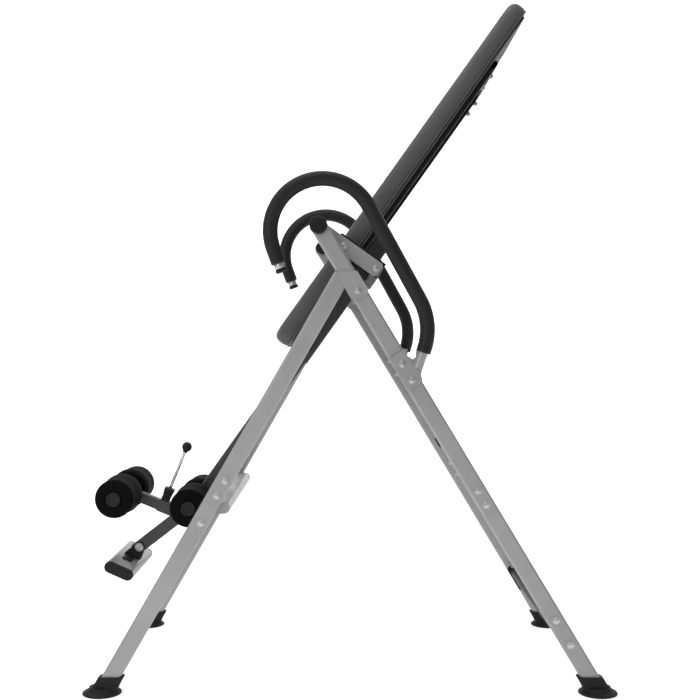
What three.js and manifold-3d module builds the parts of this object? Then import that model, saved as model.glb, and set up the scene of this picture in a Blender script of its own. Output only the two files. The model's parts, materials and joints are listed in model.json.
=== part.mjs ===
// A folding inversion table: an A-frame, a bed that tips about a pivot between the two sides,
// a boom that slides in the bed's main tube, an ankle lock and a footrest.
// Millimetres, +Z up. The origin is on the floor, at the middle of the feet.
// X runs from the front feet (-X) to the rear feet (+X). The left side is -Y.

import * as THREE from 'three';
import { mergeVertices } from 'three/addons/utils/BufferGeometryUtils.js';
import Module from 'manifold-3d';

const wasm = await Module();
wasm.setup();

// ---------------------------------------------------------------- driving dimensions

const DEGREE = Math.PI / 180;
const SIDES = { left: -1, right: 1 };
const GAP = 0.3; // between pieces that touch on the real object

// The stand.
const FOOT_X = 582.5; // floor centre to each foot's middle, front and back
const LEG_Y = 306; // floor centre to the middle of each leg, side to side
const PIVOT = { x: -74, z: 1098 }; // the bed's pivot, at the top of the rear legs
const REAR_LEG_FLOOR_X = 586; // where the rear leg's axis meets the floor
const FRONT_LEAN = 29.9 * DEGREE; // front leg from the vertical
const LEG = { width: 40, depth: 25, radius: 6 }; // leg tube, in the side view and across
const NECK = { width: 36, depth: 21, radius: 4 }; // lower leg's reduced end, inside the upper
const LEG_WALL = 1.7;
const LEG_END_Z = 24; // height of the leg's end inside its foot
const REAR_JOINT = 784.5; // pivot to the joint of the two rear tubes, along the leg
const FRONT_JOINT = 604; // fold bolt to the joint of the two front tubes
const NECK_LENGTH = 110;
const FOLD_DROP = 179.5; // pivot to fold bolt, along the rear leg
const BOLT_RADIUS = 5;
const HOLE_RADIUS = BOLT_RADIUS + GAP;
const SMALL_HOLE = 4.3; // radius, for the bolts of the plates and brackets

// The saddle is the plate bracket at the top of the front leg, round the rear leg.
const SADDLE = { half: 22.8, plate: 2.6, top: 113, backTop: 138, end: 198, corner: 9 };
const SADDLE_WEB_END = 16; // the web stops this far above the fold bolt, so that it can turn

// The pivot.
const HOUSING = { radius: 21, half: 14 };
const PIN_RADIUS = 10;
const BUSH_RADIUS = 13.2;

// The handles.
const HANDLE_Y = 346;
const HANDLE = { x: -64, z: 1082, radius: 121, from: 200, to: 28.7 };
const HANDLE_LEAD = 37; // straight run at the arch's free end
const HANDLE_RUN = 248.3; // straight run down from the arch
const HANDLE_BEND = { radius: 143, angle: 47.7 };
const GRIP = { radius: 17.5, bore: 14.5 }; // the bore clears the tube at its flats
const HANDLE_TUBE = 11.5;
const HANDLE_STUB = 46; // bare tube below the grip
const HANDLE_RING = 12; // bare tube past the grip at the arch's free end

// Cross bars of the stand.
const FRONT_BAR = { width: 66, height: 27, x: -316.5 };
const REAR_BAR = { width: 60, height: 27, offset: -3, along: 1112.5 };

// The bed. Its own axes are X towards the head, Z towards the user, from the pivot.
const BED_ANGLE = 54.6 * DEGREE;
const PAD = { foot: -284, head: 748, front: -57.5, back: -102.5, half: 215, radius: 18 };
const BOARD = { foot: -262, head: 728, thick: 4.5, half: 204 };
const MAIN = { size: 45, wall: 3, foot: -290, head: 95, z: -139 };
const RAIL = { width: 22, depth: 12, wall: 1.6, y: 150, foot: -245, head: 579.5 };
const HINGE = { half: 18, x: -1, end: -180, inner: 266, thick: 5, boltX: -2, bolts: [-74, -168] };
const BED_BARS = { foot: -215, head: 50 }; // middles of the flat bars that join the rails
const BED_BAR = { width: 40, depth: 8, wall: 1.6 };
const CRADLE = { top: -52, from: -19, to: 22, thick: 4.5, bar: 20, bottom: -182 };

// The boom and its height pin.
const BOOM = { size: 38, wall: 2.5, foot: -790, head: 80 };
const PIN_X = -250;
const PIN_HOLES = { first: -350, last: -100, pitch: 50 };
const PIN_BOSS = { radius: 9, length: 24 };
const HEIGHT_PIN = { tip: -21, knob: 15, knobLength: 19, pulled: 7 }; // drawn out, clear of the boom

// The ankle lock. Its own axes have the origin on the front axle and Z along its tube.
const ANKLE = { x: -839, z: 33, lean: 13.3 * DEGREE };
const SLEEVE = { size: 32, wall: 2, bottom: -198, top: -93 };
const SLIDER = { size: 27.4, wall: 2.2, bottom: -146, top: 14 };
const LATCH = { z: -105, rod: 3.75, tip: 15.5, ball: 13, reach: 167.5 }; // drawn out as well
const LATCH_HOLES = [-105, -80, -55];
const AXLE = { radius: 8, half: 161, cap: 18, capThick: 5 };
const REAR_AXLE = { x: -750, z: -132 };
const ROLLER = { radius: 48, inner: 30, outer: 160 };

// The footrest, which turns on a bolt at the end of its post.
const REST_BOLT = { x: -936, z: -82 };
const POST = { width: 32, depth: 25, wall: 2, length: 135, angle: 107.1 * DEGREE };
const REST = { lean: -11.4 * DEGREE, x: -45.7, z: 11.3, width: 29, height: 77, half: 133 };
const REST_CAP = 7;

// ---------------------------------------------------------------- places worked out from them

const REAR_LEAN = Math.atan2(REAR_LEG_FLOOR_X - PIVOT.x, PIVOT.z);
const FOLD = {
  x: PIVOT.x + FOLD_DROP * Math.sin(REAR_LEAN),
  z: PIVOT.z - FOLD_DROP * Math.cos(REAR_LEAN),
};
const FRONT_AXIS = // how far the front leg's axis passes from the fold bolt
  (-FOOT_X - FOLD.x) * Math.cos(FRONT_LEAN) + FOLD.z * Math.sin(FRONT_LEAN);
const LEG_HALF = LEG.width / 2;
const LEG_FACE = LEG.depth / 2;
const INNER_FACE = LEG_Y - LEG_FACE - GAP; // where a cross bar ends
const BOARD_BACK = PAD.back - GAP - BOARD.thick;
const RAIL_Z = BOARD_BACK - GAP - RAIL.depth / 2;

// The bed rests with its boom on the front bar, so the bar's height follows from the bed.
function frontBarHeight() {
  const straight = (FRONT_BAR.width - FRONT_BAR.height) / 2;
  const reach = straight * Math.sin(BED_ANGLE) + FRONT_BAR.height / 2;
  const boomBack = MAIN.z - BOOM.size / 2;
  const depth = boomBack - 0.6 - reach;
  const across = (FRONT_BAR.x - PIVOT.x) * Math.sin(BED_ANGLE);
  return PIVOT.z + (depth + across) / Math.cos(BED_ANGLE);
}

// ---------------------------------------------------------------- shapes

function solidOf(geometry) {
  const bare = geometry.clone();
  bare.deleteAttribute('normal');
  bare.deleteAttribute('uv');
  const welded = mergeVertices(bare, 1e-4);
  const vertProperties = new Float32Array(welded.attributes.position.array);
  const triVerts = new Uint32Array(welded.index.array);
  return new wasm.Manifold(new wasm.Mesh({ numProp: 3, vertProperties, triVerts }));
}

function geometryOf(solid) {
  const mesh = solid.getMesh();
  const geometry = new THREE.BufferGeometry();
  geometry.setAttribute('position', new THREE.BufferAttribute(mesh.vertProperties, 3));
  geometry.setIndex(new THREE.BufferAttribute(mesh.triVerts, 1));
  geometry.computeVertexNormals();
  return geometry;
}

function join(first, ...others) {
  return geometryOf(others.reduce((whole, one) => whole.add(solidOf(one)), solidOf(first)));
}

function cut(geometry, ...tools) {
  return geometryOf(tools.reduce((left, one) => left.subtract(solidOf(one)), solidOf(geometry)));
}

function common(geometry, other) {
  return geometryOf(solidOf(geometry).intersect(solidOf(other)));
}

function roundedRectangle(width, height, radius) {
  const x = width / 2 - radius;
  const y = height / 2 - radius;
  const shape = new THREE.Shape();
  shape.absarc(x, y, radius, 0, Math.PI / 2);
  shape.absarc(-x, y, radius, Math.PI / 2, Math.PI);
  shape.absarc(-x, -y, radius, Math.PI, 1.5 * Math.PI);
  shape.absarc(x, -y, radius, 1.5 * Math.PI, 2 * Math.PI);
  return shape;
}

// A flat oval, with its long way along x.
function flatOval(width, height) {
  const radius = height / 2;
  const x = width / 2 - radius;
  const shape = new THREE.Shape();
  shape.absarc(x, 0, radius, -Math.PI / 2, Math.PI / 2);
  shape.absarc(-x, 0, radius, Math.PI / 2, 1.5 * Math.PI);
  return shape;
}

function polygon(points) {
  return new THREE.Shape(points.map(([x, y]) => new THREE.Vector2(x, y)));
}

// Along Z, from one height to another.
function prism(shape, from, to, curveSegments = 2) {
  const depth = to - from;
  const geometry = new THREE.ExtrudeGeometry(shape, { depth, bevelEnabled: false, curveSegments });
  return geometry.translate(0, 0, from);
}

// A shape drawn in the side view, made thick across Y.
function across(shape, from, to, curveSegments = 3) {
  return prism(shape, -to, -from, curveSegments).rotateX(Math.PI / 2);
}

// Along X, from one place to another: the shape's x lies across Y.
function lengthwise(shape, from, to) {
  return prism(shape, from, to).rotateZ(Math.PI / 2).rotateY(Math.PI / 2);
}

// Turned about the Y axis from a profile of [radius, y] pairs that starts and ends on the axis
// or closes on itself.
function turned(profile, segments = 18) {
  const points = profile.map(([radius, y]) => new THREE.Vector2(radius, y));
  const geometry = new THREE.LatheGeometry(points, segments);
  return isInsideOut(geometry) ? flipped(geometry) : geometry;
}

function isInsideOut(geometry) {
  const at = geometry.attributes.position;
  const order = geometry.index.array;
  const corner = (i) => new THREE.Vector3().fromBufferAttribute(at, order[i]);
  let volume = 0;
  for (let i = 0; i < order.length; i += 3) {
    volume += corner(i).dot(corner(i + 1).cross(corner(i + 2)));
  }
  return volume < 0;
}

function flipped(geometry) {
  const order = geometry.index.array;
  for (let i = 0; i < order.length; i += 3) {
    [order[i], order[i + 1]] = [order[i + 1], order[i]];
  }
  return geometry;
}

// The [radius, y] outline of a ring, closed on itself.
function ringProfile(inner, outer, from, to) {
  return [[inner, from], [outer, from], [outer, to], [inner, to], [inner, from]];
}

function crossPin(radius, half, x = 0, z = 0, segments = 12) {
  return new THREE.CylinderGeometry(radius, radius, 2 * half, segments).translate(x, 0, z);
}

function box(x, y, z) {
  const size = [x[1] - x[0], y[1] - y[0], z[1] - z[0]];
  const geometry = new THREE.BoxGeometry(...size);
  return geometry.translate((x[0] + x[1]) / 2, (y[0] + y[1]) / 2, (z[0] + z[1]) / 2);
}

// A square tube along Z.
function squareTube(size, wall, from, to) {
  const outer = prism(roundedRectangle(size, size, 3), from, to, 1);
  const hollow = prism(roundedRectangle(size - 2 * wall, size - 2 * wall, 1), from - 1, to + 1, 1);
  return cut(outer, hollow);
}

// ---------------------------------------------------------------- pieces and finishes

const FINISHES = {
  silverPaint: { color: 0xa6a6a4, roughness: 0.45, metalness: 0.35 },
  darkPaint: { color: 0x3d3e40, roughness: 0.45, metalness: 0.4 },
  blackPaint: { color: 0x1a1a1b, roughness: 0.5, metalness: 0.3 },
  zinc: { color: 0xc8c9c8, roughness: 0.3, metalness: 1 },
  chrome: { color: 0xd8d8d8, roughness: 0.12, metalness: 1 },
  plastic: { color: 0x141415, roughness: 0.5, metalness: 0 },
  nylon: { color: 0xd9d6cc, roughness: 0.5, metalness: 0 },
  rubber: { color: 0x161616, roughness: 0.8, metalness: 0 },
  foam: { color: 0x1c1c1c, roughness: 0.75, metalness: 0 },
  vinyl: { color: 0x444547, roughness: 0.5, metalness: 0 },
  plywood: { color: 0x232323, roughness: 0.8, metalness: 0 },
};

function piece(parent, name, finish, geometry, x = 0, y = 0, z = 0) {
  const material = new THREE.MeshStandardMaterial(FINISHES[finish]);
  const mesh = new THREE.Mesh(geometry, material);
  mesh.name = name;
  mesh.position.set(x, y, z);
  parent.add(mesh);
}

function group(parent, x, y, z, turn = 0) {
  const made = new THREE.Group();
  made.position.set(x, y, z);
  made.rotation.y = turn;
  parent.add(made);
  return made;
}

// ---------------------------------------------------------------- legs and feet

function legPrism(section, from, to) {
  return prism(roundedRectangle(section.width, section.depth, section.radius), from, to);
}

function legBore(from, to) {
  const bore = {
    width: LEG.width - 2 * LEG_WALL,
    depth: LEG.depth - 2 * LEG_WALL,
    radius: LEG.radius - LEG_WALL,
  };
  return legPrism(bore, from, to);
}

function rearUpperLeg() {
  const tube = cut(legPrism(LEG, -REAR_JOINT, 0), legBore(-REAR_JOINT - 1, 1));
  const open = cut(tube, crossPin(HOUSING.radius - 1, HOUSING.half, 0, 0, 18));
  const bore = PIN_RADIUS + GAP;
  const housing = turned(ringProfile(bore, HOUSING.radius, -HOUSING.half, HOUSING.half));
  return cut(join(open, housing), crossPin(HOLE_RADIUS, LEG_HALF, 0, -FOLD_DROP));
}

// A lower leg, from its reduced end inside the upper leg to its end inside the foot.
function lowerLeg(joint, end, axis = 0) {
  const tube = legPrism(LEG, -end, -joint - GAP);
  const neck = legPrism(NECK, -joint - 30, -joint + NECK_LENGTH);
  const wall = LEG_WALL * 2;
  const bore = { width: NECK.width - wall, depth: NECK.depth - wall, radius: 2 };
  const hollow = legPrism(bore, -end - 1, -joint + NECK_LENGTH + 1);
  return cut(join(tube, neck), hollow).translate(axis, 0, 0);
}

// The saddle's side plate, in the rear leg's axes with the fold bolt as origin.
function saddlePlate(from, to) {
  const { half, top, backTop, end, corner } = SADDLE;
  const outline = [
    [-half, FOLD_DROP - top],
    [-half, FOLD_DROP - end + corner],
    [-half + corner, FOLD_DROP - end],
    [half - corner, FOLD_DROP - end],
    [half, FOLD_DROP - end + corner],
    [half, FOLD_DROP - backTop],
  ];
  return across(polygon(outline), from, to);
}

function frontUpperLeg() {
  const face = LEG_FACE + 0.4;
  const outer = saddlePlate(face, face + SADDLE.plate);
  const inner = saddlePlate(-face - SADDLE.plate, -face);
  const edge = -LEG_HALF - 0.4;
  const rise = [SADDLE_WEB_END, FOLD_DROP - SADDLE.top];
  const web = box([-SADDLE.half - 0.01, edge], [-face - 1, face + 1], rise);
  const saddle = join(join(outer, web), inner).rotateY(-REAR_LEAN - FRONT_LEAN);
  const tube = cut(legPrism(LEG, -FRONT_JOINT, 120), legBore(-FRONT_JOINT - 1, 121));
  const rearSide = box([edge - 1.4, 200], [-40, 40], [-300, 300]).rotateY(-REAR_LEAN - FRONT_LEAN);
  const leg = cut(tube.translate(FRONT_AXIS, 0, 0), rearSide);
  return cut(join(leg, saddle), crossPin(HOLE_RADIUS + 0.1, 30));
}

// A foot, with its collar leaning with the leg. Origin on the floor at the foot's middle.
function foot(lean, legX) {
  const profile = [[0, 0], [45.5, 0], [45.5, 3], [41, 6.5], [33, 10], [28, 16], [0, 16]];
  const base = turned(profile, 20).rotateX(Math.PI / 2);
  const along = (shape) => prism(shape, -20, 80).rotateY(lean).translate(legX, 0, 0);
  const collar = along(roundedRectangle(LEG.width + 11, LEG.depth + 11, 10));
  const socket = along(roundedRectangle(LEG.width + 0.8, LEG.depth + 0.8, LEG.radius));
  const wide = [-90, 90];
  const rising = common(collar, box(wide, wide, [5, 40]));
  return cut(join(base, rising), common(socket, box(wide, wide, [11, 90])));
}

// ---------------------------------------------------------------- stand

function foldBolt(side) {
  const profile = [
    [0, -22], [8.5, -22], [8.5, -16], [BOLT_RADIUS, -16],
    [BOLT_RADIUS, 16], [9, 16], [9, 19], [6, 21.5], [0, 21.5],
  ];
  return turned(profile.map(([radius, y]) => [radius, side * y]), 16);
}

function pivotPin(side) {
  const profile = [
    [0, -47], [14, -47], [14, -43.5], [PIN_RADIUS, -43.5], [PIN_RADIUS, -33],
    [15, -33], [15, -14.5], [PIN_RADIUS, -14.5], [PIN_RADIUS, 14], [0, 14],
  ];
  return turned(profile.map(([radius, y]) => [radius, side * y]));
}

function pivotCap(side) {
  const profile = [[0, 14.5], [21, 14.5], [21, 21], [18, 24], [12, 24], [11, 22], [0, 22]];
  return turned(profile.map(([radius, y]) => [radius, side * y]));
}

function rearStand(stand, name, side) {
  const leg = group(stand, PIVOT.x, side * LEG_Y, PIVOT.z, -REAR_LEAN);
  const end = (PIVOT.z - LEG_END_Z) / Math.cos(REAR_LEAN);
  piece(leg, `rear_leg_upper_${name}`, 'silverPaint', rearUpperLeg());
  piece(leg, `rear_leg_lower_${name}`, 'silverPaint', lowerLeg(REAR_JOINT, end));
  piece(leg, `fold_bolt_${name}`, 'zinc', foldBolt(side), 0, 0, -FOLD_DROP);
  piece(leg, `pivot_pin_${name}`, 'zinc', pivotPin(side));
  piece(leg, `pivot_cap_${name}`, 'plastic', pivotCap(side));
  piece(leg, `handle_bracket_${name}`, 'silverPaint', handleBracket(side));
  const shape = foot(-REAR_LEAN, REAR_LEG_FLOOR_X - FOOT_X);
  piece(stand, `rear_foot_${name}`, 'rubber', shape, FOOT_X, side * LEG_Y, 0);
}

function rearCrossBar(stand) {
  const middle = group(stand, PIVOT.x, 0, PIVOT.z, -REAR_LEAN);
  const oval = (width, height, half) => across(flatOval(width, height), -half, half);
  const end = INNER_FACE;
  const plate = (y) => across(roundedRectangle(76, 33, 8), y, y + 3);
  const plates = join(oval(REAR_BAR.width, REAR_BAR.height, end), plate(end - 3), plate(-end));
  const hollow = oval(REAR_BAR.width - 4, REAR_BAR.height - 4, end + 1);
  const bar = cut(plates, hollow).rotateY(Math.PI / 2);
  piece(middle, 'rear_cross_bar', 'blackPaint', bar, REAR_BAR.offset, 0, -REAR_BAR.along);
}

function frontStand(stand, name, side) {
  const leg = group(stand, FOLD.x, side * LEG_Y, FOLD.z, FRONT_LEAN);
  const end = (FOLD.z - LEG_END_Z) / Math.cos(FRONT_LEAN) - FRONT_AXIS * Math.tan(FRONT_LEAN);
  piece(leg, `front_leg_upper_${name}`, 'silverPaint', frontUpperLeg());
  piece(leg, `front_leg_lower_${name}`, 'silverPaint', lowerLeg(FRONT_JOINT, end, FRONT_AXIS));
  piece(stand, `front_foot_${name}`, 'rubber', foot(FRONT_LEAN, 0), -FOOT_X, side * LEG_Y, 0);
}

function frontCrossBar(stand) {
  const outer = across(flatOval(FRONT_BAR.width, FRONT_BAR.height), -INNER_FACE, INNER_FACE);
  const end = INNER_FACE + 1;
  const hollow = across(flatOval(FRONT_BAR.width - 4, FRONT_BAR.height - 4), -end, end);
  const bar = cut(outer, hollow);
  piece(stand, 'front_cross_bar', 'silverPaint', bar, FRONT_BAR.x, 0, frontBarHeight());
}

// ---------------------------------------------------------------- handles

// An arc in the side view, from one angle to another, in degrees from +X towards +Z.
class SideArc extends THREE.Curve {
  constructor(x, z, radius, from, to) {
    super();
    Object.assign(this, { x, z, radius, from, to });
  }

  getPoint(t, target = new THREE.Vector3()) {
    const angle = (this.from + (this.to - this.from) * t) * DEGREE;
    const x = this.x + this.radius * Math.cos(angle);
    return target.set(x, 0, this.z + this.radius * Math.sin(angle));
  }
}

function ahead(point, angle, distance) {
  const away = new THREE.Vector3(Math.cos(angle * DEGREE), 0, Math.sin(angle * DEGREE));
  return point.clone().addScaledVector(away, distance);
}

// The handle's centre line: arch, straight run, bend and stub, with its two bare ends.
function handleLine(ring, stub) {
  const arch = new SideArc(HANDLE.x, HANDLE.z, HANDLE.radius, HANDLE.from, HANDLE.to);
  const tip = arch.getPoint(0);
  const down = HANDLE.to - 90;
  const runStart = arch.getPoint(1);
  const runEnd = ahead(runStart, down, HANDLE_RUN);
  const centre = ahead(runEnd, down - 90, HANDLE_BEND.radius);
  const turn = down + 90;
  const bend = new SideArc(
    centre.x, centre.z, HANDLE_BEND.radius, turn, turn - HANDLE_BEND.angle,
  );
  const bendEnd = bend.getPoint(1);
  const line = new THREE.CurvePath();
  line.add(new THREE.LineCurve3(ahead(tip, HANDLE.from + 90, HANDLE_LEAD + ring), tip));
  line.add(arch);
  line.add(new THREE.LineCurve3(runStart, runEnd));
  line.add(bend);
  line.add(new THREE.LineCurve3(bendEnd, ahead(bendEnd, down - HANDLE_BEND.angle, stub)));
  return line;
}

function sweep(shape, line, steps, curveSegments) {
  return new THREE.ExtrudeGeometry(shape, { extrudePath: line, steps, curveSegments });
}

function circle(radius) {
  return new THREE.Shape().absarc(0, 0, radius, 0, 2 * Math.PI);
}

function handle(stand, name, side) {
  const y = side * HANDLE_Y;
  const ring = circle(GRIP.radius);
  ring.holes.push(circle(GRIP.bore));
  piece(stand, `handle_grip_${name}`, 'foam', sweep(ring, handleLine(0, 7.6), 22, 4), 0, y, 0);
  const tube = sweep(circle(HANDLE_TUBE), handleLine(HANDLE_RING, HANDLE_STUB), 26, 4);
  piece(stand, `handle_tube_${name}`, 'silverPaint', tube, 0, y, 0);
  const tip = handleLine(HANDLE_RING, HANDLE_STUB).getPoint(0);
  const place = group(stand, tip.x, y, tip.z, (HANDLE.from - 180) * DEGREE * -1);
  const profile = [[0, -GAP], [13.5, -GAP], [13.5, -7], [10, -10], [0, -10]];
  piece(place, `handle_tip_${name}`, 'plastic', turned(profile, 16).rotateX(Math.PI / 2));
}

// The plate that holds the handle's stub to the outside of the rear leg.
function handleBracket(side) {
  const outline = [
    [-20, -352], [-20, -436], [-14, -441], [17, -441], [22, -436], [25, -424],
    [44, -402], [64, -380], [47, -366], [36, -382], [27, -382], [20, -366], [20, -352],
  ];
  const block = [[26, -416], [46, -396], [52, -389], [42, -377], [36, -384], [24, -400]];
  const face = LEG_FACE + GAP;
  const out = HANDLE_Y - LEG_Y - HANDLE_TUBE - GAP;
  const thick = (points, from, to) => {
    const [low, high] = side > 0 ? [from, to] : [-to, -from];
    return across(polygon(points), low, high);
  };
  const plate = join(thick(outline, face, face + 4), thick(block, face + 3, out));
  const holes = [-379.3, -423.7].map((z) => crossPin(SMALL_HOLE, 40, 0, z, 12));
  return cut(plate, ...holes);
}

// ---------------------------------------------------------------- bed

// A hinge plate, which hangs the bed from the pivot on one side.
function hingePlate(side) {
  const shape = new THREE.Shape();
  shape.moveTo(HINGE.x - HINGE.half, HINGE.end + 6);
  shape.lineTo(HINGE.x - HINGE.half + 6, HINGE.end);
  shape.lineTo(HINGE.x + HINGE.half - 6, HINGE.end);
  shape.lineTo(HINGE.x + HINGE.half, HINGE.end + 6);
  shape.absarc(HINGE.x, 0, HINGE.half, 0, Math.PI);
  const inner = HINGE.inner;
  const outer = HINGE.inner + HINGE.thick;
  const [from, to] = side > 0 ? [inner, outer] : [-outer, -inner];
  const bore = crossPin(BUSH_RADIUS + 2 * GAP, 400, 0, 0, 18);
  const holes = HINGE.bolts.map((z) => crossPin(SMALL_HOLE, 400, HINGE.boltX, z, 12));
  return cut(across(shape, from, to), bore, ...holes);
}

function pivotBush(side) {
  const middle = side * (HINGE.inner + HINGE.thick / 2);
  return turned(ringProfile(PIN_RADIUS + GAP, BUSH_RADIUS, middle - 4.5, middle + 4.5));
}

// The black U that carries the main tube between the hinge plates.
function cradle() {
  const outer = HINGE.inner - GAP;
  const inner = outer - CRADLE.thick;
  const sides = [CRADLE.from, CRADLE.to];
  const rise = [CRADLE.bottom, CRADLE.top];
  const left = box(sides, [-outer, -inner], rise);
  const right = box(sides, [inner, outer], rise);
  const bottom = [CRADLE.bottom, CRADLE.bottom + CRADLE.bar];
  const bar = box([CRADLE.from, 16], [-outer, outer], bottom);
  const inside = [CRADLE.bottom + 2, CRADLE.bottom + CRADLE.bar - 2];
  const hollow = box([CRADLE.from + 2, 14], [-outer - 1, outer + 1], inside);
  const hole = crossPin(SMALL_HOLE, 400, HINGE.boltX, HINGE.bolts[0], 12);
  return cut(join(bar, left, right), hollow, hole);
}

function mainTube() {
  const tube = squareTube(MAIN.size, MAIN.wall, MAIN.foot, MAIN.head).rotateY(Math.PI / 2);
  const face = -MAIN.size / 2;
  const middle = face + 1 - PIN_BOSS.length / 2;
  const boss = crossPin(PIN_BOSS.radius, PIN_BOSS.length / 2, PIN_X, 0).translate(0, middle, 0);
  const bore = crossPin(HOLE_RADIUS, 22, PIN_X, 0).translate(0, middle - 4, 0);
  return cut(join(tube, boss), bore).translate(0, 0, MAIN.z);
}

function rail() {
  const shape = roundedRectangle(RAIL.width, RAIL.depth, 3);
  const wall = 2 * RAIL.wall;
  const hole = roundedRectangle(RAIL.width - wall, RAIL.depth - wall, 1.4);
  const outer = lengthwise(shape, RAIL.foot, RAIL.head);
  return cut(outer, lengthwise(hole, RAIL.foot - 1, RAIL.head + 1));
}

function headBar() {
  const half = RAIL.y + RAIL.width / 2;
  const shape = roundedRectangle(RAIL.width, RAIL.depth, 3);
  const wall = 2 * RAIL.wall;
  const hole = roundedRectangle(RAIL.width - wall, RAIL.depth - wall, 1.4);
  const bar = cut(across(shape, -half, half, 2), across(hole, -half - 1, half + 1, 2));
  return bar.translate(RAIL.head + GAP + RAIL.width / 2, 0, RAIL_Z);
}

// A flat bar on top of the main tube, which carries the rails.
function bedBar() {
  const { width, depth, wall } = BED_BAR;
  const half = RAIL.y - RAIL.width / 2 - GAP;
  const outer = across(roundedRectangle(width, depth, 2), -half, half, 2);
  const hollow = roundedRectangle(width - 2 * wall, depth - 2 * wall, 1);
  return cut(outer, across(hollow, -half - 1, half + 1, 2));
}

function backPad() {
  const length = PAD.head - PAD.foot;
  const shape = roundedRectangle(length, PAD.front - PAD.back, PAD.radius);
  const solid = across(shape, -PAD.half, PAD.half, 2);
  return solid.translate((PAD.head + PAD.foot) / 2, 0, (PAD.front + PAD.back) / 2);
}

function backBoard() {
  const length = BOARD.head - BOARD.foot;
  const shape = roundedRectangle(length, 2 * BOARD.half, 40);
  const solid = prism(shape, BOARD_BACK, PAD.back - GAP, 3);
  return solid.translate((BOARD.head + BOARD.foot) / 2, 0, 0);
}

function makeBed(bed) {
  for (const [name, side] of Object.entries(SIDES)) {
    piece(bed, `hinge_plate_${name}`, 'silverPaint', hingePlate(side));
    piece(bed, `pivot_bush_${name}`, 'nylon', pivotBush(side));
    piece(bed, `pad_rail_${name}`, 'blackPaint', rail(), 0, side * RAIL.y, RAIL_Z);
  }
  piece(bed, 'bed_cradle', 'blackPaint', cradle());
  piece(bed, 'bed_main_tube', 'darkPaint', mainTube());
  piece(bed, 'pad_head_bar', 'blackPaint', headBar());
  for (const [name, x] of Object.entries(BED_BARS)) {
    const z = MAIN.z + MAIN.size / 2 + GAP + BED_BAR.depth / 2;
    piece(bed, `bed_cross_bar_${name}`, 'blackPaint', bedBar(), x, 0, z);
  }
  piece(bed, 'back_board', 'plywood', backBoard());
  piece(bed, 'back_pad', 'vinyl', backPad());
}

// A pull knob with its pin, which goes into one of the boom's holes to lock it.
function heightPin() {
  const boss = -MAIN.size / 2 - PIN_BOSS.length + 1;
  const near = boss - GAP - HEIGHT_PIN.pulled;
  const far = near - HEIGHT_PIN.knobLength;
  const { tip, knob } = HEIGHT_PIN;
  const profile = [
    [0, tip], [BOLT_RADIUS - 1.5, tip], [BOLT_RADIUS, tip - 1.5], [BOLT_RADIUS, near],
    [knob - 3, near], [knob, near - 5], [knob, far + 4], [knob - 3, far], [0, far],
  ];
  return turned(profile, 20).translate(PIN_X, 0, MAIN.z);
}

// ---------------------------------------------------------------- boom and ankle lock

function inAnkleAxes(geometry) {
  return geometry.rotateY(-ANKLE.lean).translate(ANKLE.x, 0, ANKLE.z);
}

function sleeveEnvelope() {
  const size = SLEEVE.size + 2 * GAP;
  return inAnkleAxes(prism(roundedRectangle(size, size, 3), -240, SLEEVE.top + 20, 1));
}

function boomTube() {
  const tube = squareTube(BOOM.size, BOOM.wall, BOOM.foot, BOOM.head).rotateY(Math.PI / 2);
  const holes = [crossPin(AXLE.radius + GAP, 40, REAR_AXLE.x, REAR_AXLE.z)];
  for (let x = PIN_HOLES.first; x <= PIN_HOLES.last; x += PIN_HOLES.pitch) {
    holes.push(crossPin(HOLE_RADIUS, 12, x, MAIN.z, 10).translate(0, -BOOM.size / 2, 0));
  }
  return cut(tube.translate(0, 0, MAIN.z), ...holes, sleeveEnvelope());
}

// A hole along the ankle lock's own X, through its tubes on the side of the latch.
function latchHole(from, to, z) {
  const hole = new THREE.CylinderGeometry(LATCH.rod + GAP, LATCH.rod + GAP, to - from, 12);
  return hole.rotateZ(Math.PI / 2).translate((from + to) / 2, 0, z);
}

function ankleSleeve() {
  const tube = squareTube(SLEEVE.size, SLEEVE.wall, SLEEVE.bottom, SLEEVE.top);
  return cut(tube, latchHole(8, 30, LATCH.z));
}

function ankleSlider() {
  const tube = squareTube(SLIDER.size, SLIDER.wall, SLIDER.bottom, SLIDER.top);
  const holes = LATCH_HOLES.map((z) => latchHole(6, 30, z));
  return cut(tube, crossPin(AXLE.radius + GAP, 30), ...holes);
}

function latchBlock() {
  const face = SLEEVE.size / 2 + GAP;
  const shape = roundedRectangle(28, 26, 4);
  const block = lengthwise(shape, face, face + 34).translate(0, 0, LATCH.z);
  return cut(block, latchHole(0, 80, LATCH.z));
}

function latchRod() {
  const length = LATCH.reach - LATCH.ball - LATCH.tip;
  const rod = new THREE.CylinderGeometry(LATCH.rod, LATCH.rod, length, 12);
  return rod.rotateZ(Math.PI / 2).translate(LATCH.tip + length / 2, 0, LATCH.z);
}

function latchBall() {
  const { ball, reach, z } = LATCH;
  const round = new THREE.SphereGeometry(ball, 12, 8).translate(reach, 0, z);
  return cut(round, box([reach - ball - 1, reach - ball + GAP + 0.2], [-9, 9], [z - 9, z + 9]));
}

function axle() {
  const { radius, half, cap, capThick } = AXLE;
  const profile = [
    [0, -half - capThick], [cap, -half - capThick], [cap, -half], [radius, -half],
    [radius, half], [cap, half], [cap, half + capThick], [0, half + capThick],
  ];
  return turned(profile, 20);
}

function roller(side) {
  const { radius, inner, outer } = ROLLER;
  const bore = AXLE.radius + GAP;
  const profile = [
    [bore, inner], [radius - 5, inner], [radius, inner + 5], [radius, outer - 5],
    [radius - 5, outer], [bore, outer], [bore, inner],
  ];
  return turned(profile.map(([r, y]) => [r, side * y]), 20);
}

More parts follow.
